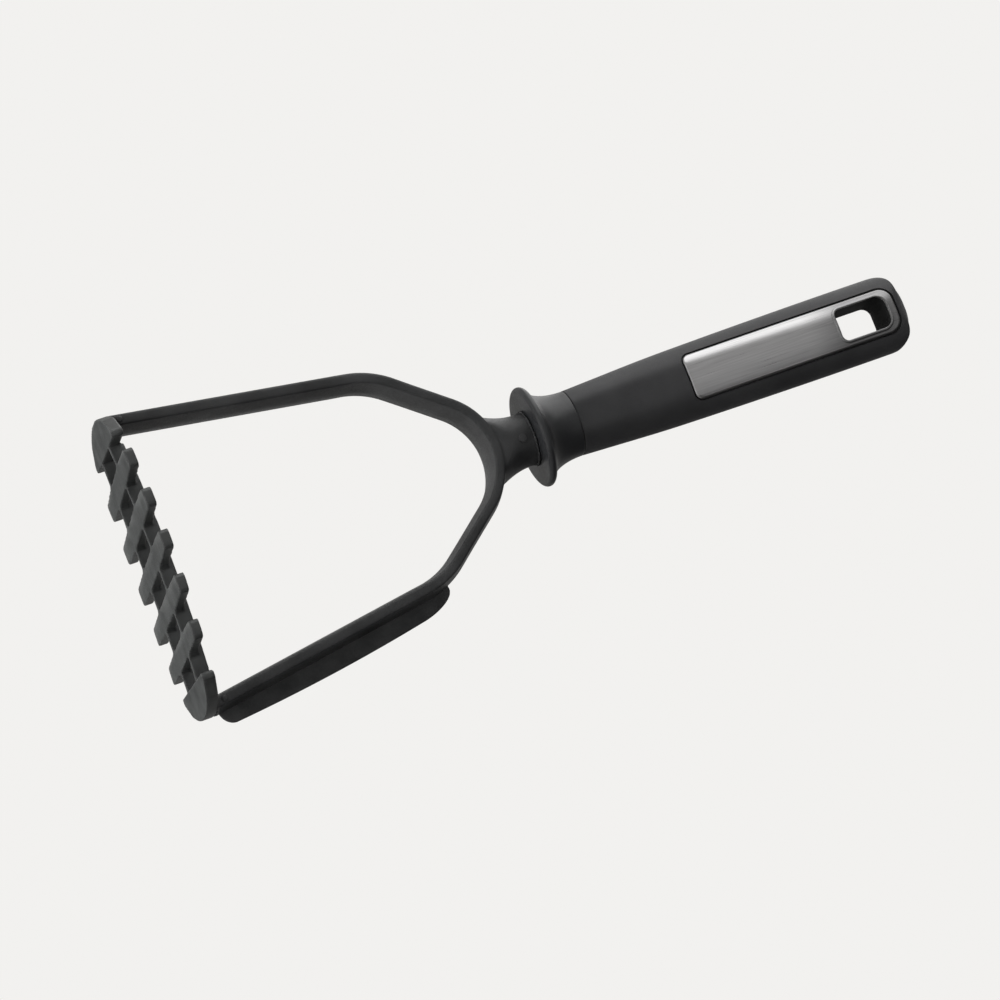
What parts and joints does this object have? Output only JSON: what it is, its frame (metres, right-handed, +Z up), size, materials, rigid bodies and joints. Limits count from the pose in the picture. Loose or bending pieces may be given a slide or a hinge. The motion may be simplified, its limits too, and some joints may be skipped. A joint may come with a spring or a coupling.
{
  "type": "potato masher",
  "caption": "Hand masher: a nylon grid on a splayed two-arm yoke, a flanged collar, a soft oval grip with a steel inlay and a hanging hole, and a scraper edge on one arm.",
  "frame": {"origin": "in the middle of the footprint, on the surface that the masher stands on. The handle's axis is 2.2 mm to the -X side of it, because the scraper blade widens the +X side", "axes": "+Z up the handle away from the mashing face, +X across the yoke to the arm that has the scraper blade, -Y out of the front of the grip, where the steel inlay is"},
  "size_m": [0.115, 0.0858, 0.293],
  "materials": {
    "nylon_plate": "satin moulded nylon",
    "nylon_yoke": "fine matte moulded nylon",
    "soft_blade": "dull soft rubber",
    "bolster_plastic": "satin moulded plastic",
    "core_plastic": "plain moulded plastic",
    "soft_grip": "matte soft-touch",
    "inlay_steel": "brushed along the handle"
  },
  "bodies": {
    "root": {"mashing_plate": "nylon_plate", "yoke_frame": "nylon_yoke", "scraper_blade": "soft_blade", "bolster": "bolster_plastic", "handle_core": "core_plastic", "grip_sleeve": "soft_grip", "steel_inlay": "inlay_steel"}
  },
  "joints": []
}
